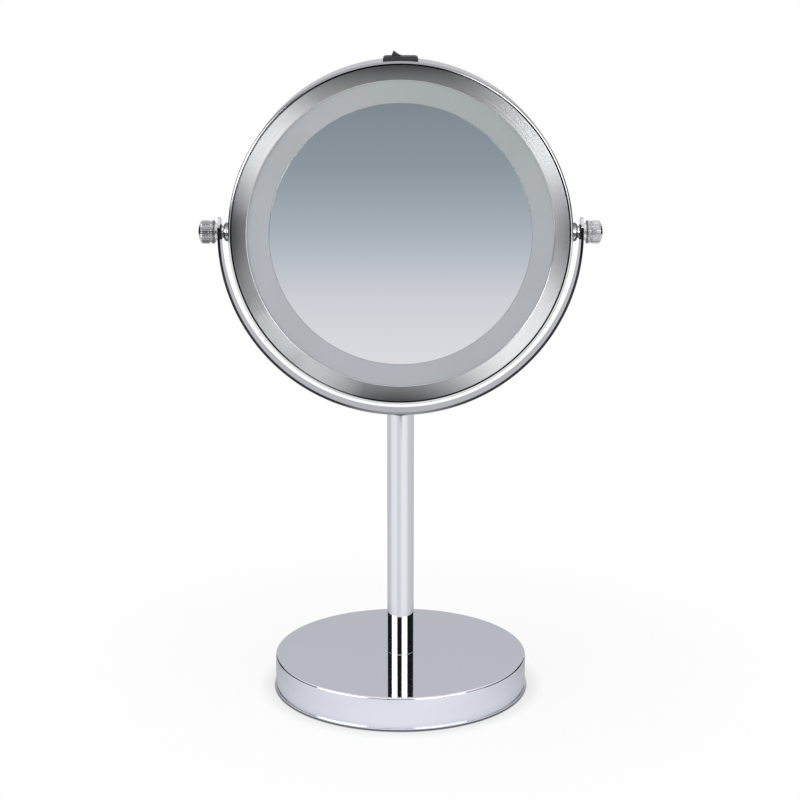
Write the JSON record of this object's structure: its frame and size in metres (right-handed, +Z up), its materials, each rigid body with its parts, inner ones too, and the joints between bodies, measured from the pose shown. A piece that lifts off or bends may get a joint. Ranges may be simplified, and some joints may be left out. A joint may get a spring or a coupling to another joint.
{
  "type": "shaving mirror",
  "caption": "Round double-sided shaving mirror with a light ring in a drum head that turns in a yoke on a pedestal with a weighted base.",
  "frame": {"origin": "centre of the underside of the base, on the surface it stands on", "axes": "+Z up along the column, the lit mirror faces -Y, the tilt axis runs along X"},
  "size_m": [0.2138, 0.14, 0.3481],
  "materials": {
    "base_chrome": "polished chrome plate on pressed steel",
    "cast_weight": "rough cast, lightly painted",
    "base_plate_paint": "black painted sheet steel",
    "fastener_steel": "bright zinc-plated steel",
    "base_foam": "closed-cell foam, matte",
    "column_chrome": "polished chrome plate on steel tube",
    "plug_steel": "turned steel",
    "yoke_chrome": "polished chrome plate on bent strip",
    "band_chrome": "satin-bright chrome plate",
    "white_plastic": "moulded, fine texture",
    "rim_satin": "circular satin brushing, sheen in a bow-tie",
    "front_silvering": "clear float glass, silvered behind",
    "frosted_glass": "etched, silky, lit from behind when on",
    "dark_foam": "bonding foam",
    "circuit_board": "solder-masked glass fibre",
    "diode_lens": "phosphor under clear resin, switched off",
    "resistor_ceramic": "glazed black top",
    "grey_plastic": "moulded, fine texture",
    "cell_jacket": "printed steel jacket, left plain",
    "contact_nickel": "nickel-plated spring steel",
    "red_insulation": "soft vinyl",
    "black_insulation": "soft vinyl",
    "switch_black": "moulded, slight sheen",
    "terminal_brass": "stamped brass, tinned end",
    "rocker_black": "moulded, slight sheen",
    "insert_brass": "turned brass",
    "spacer_chrome": "polished chrome plate",
    "washer_nylon": "black nylon",
    "knob_chrome": "bright chrome plate on turned brass",
    "rear_silvering": "hollow-ground glass, silvered behind"
  },
  "bodies": {
    "stand": {"base_shell": "base_chrome", "base_weight": "cast_weight", "base_plate": "base_plate_paint", "base_plate_screws": "fastener_steel", "base_pad": "base_foam", "base_bolt": "fastener_steel", "base_flat_washer": "fastener_steel", "base_spring_washer": "fastener_steel", "column_tube": "column_chrome", "column_foot_plug": "plug_steel", "column_head_plug": "plug_steel", "yoke": "yoke_chrome", "yoke_stud": "yoke_chrome"},
    "head": {"head_band": "band_chrome", "chassis_ring": "white_plastic", "front_rim": "rim_satin", "front_mirror": "front_silvering", "light_ring": "frosted_glass", "mirror_carrier": "white_plastic", "mirror_pad": "dark_foam", "carrier_screws": "fastener_steel", "led_board": "circuit_board", "leds": "diode_lens", "led_resistors": "resistor_ceramic", "battery_tray": "grey_plastic", "tray_screws": "fastener_steel", "battery_cells": "cell_jacket", "contact_springs": "contact_nickel", "contact_plates": "contact_nickel", "wire_red": "red_insulation", "wire_black": "black_insulation", "switch_housing": "switch_black", "switch_terminals": "terminal_brass", "pivot_insert_left": "insert_brass", "pivot_insert_right": "insert_brass", "pivot_spacer_left": "spacer_chrome", "pivot_spacer_right": "spacer_chrome", "friction_washer_left": "washer_nylon", "friction_washer_right": "washer_nylon"},
    "rocker": {"switch_rocker": "rocker_black"},
    "knob_left": {"thumb_knob_left": "knob_chrome", "pivot_screw_left": "fastener_steel"},
    "knob_right": {"thumb_knob_right": "knob_chrome", "pivot_screw_right": "fastener_steel"},
    "rear_cover": {"rear_rim": "rim_satin", "rear_mirror": "rear_silvering", "rear_pad": "dark_foam", "rear_tray": "white_plastic"}
  },
  "joints": [
    {"name": "head_tilt", "type": "hinge", "parent": "stand", "child": "head", "pos_m": [0, 0, 0.2536], "axis": [1, 0, 0], "continuous": true},
    {"name": "switch_rock", "type": "hinge", "parent": "head", "child": "rocker", "pos_m": [0, 0, 0.34245], "axis": [0, -1, 0], "range_deg": [0, 30]},
    {"name": "knob_left_turn", "type": "hinge", "parent": "head", "child": "knob_left", "pos_m": [-0.1, 0, 0.2536], "axis": [-1, 0, 0], "range_deg": [0, 360]},
    {"name": "knob_right_turn", "type": "hinge", "parent": "head", "child": "knob_right", "pos_m": [0.1, 0, 0.2536], "axis": [1, 0, 0], "range_deg": [0, 360]},
    {"name": "rear_cover_pull", "type": "slide", "parent": "head", "child": "rear_cover", "axis": [0, 1, 0], "range_m": [0, 0.03]}
  ]
}
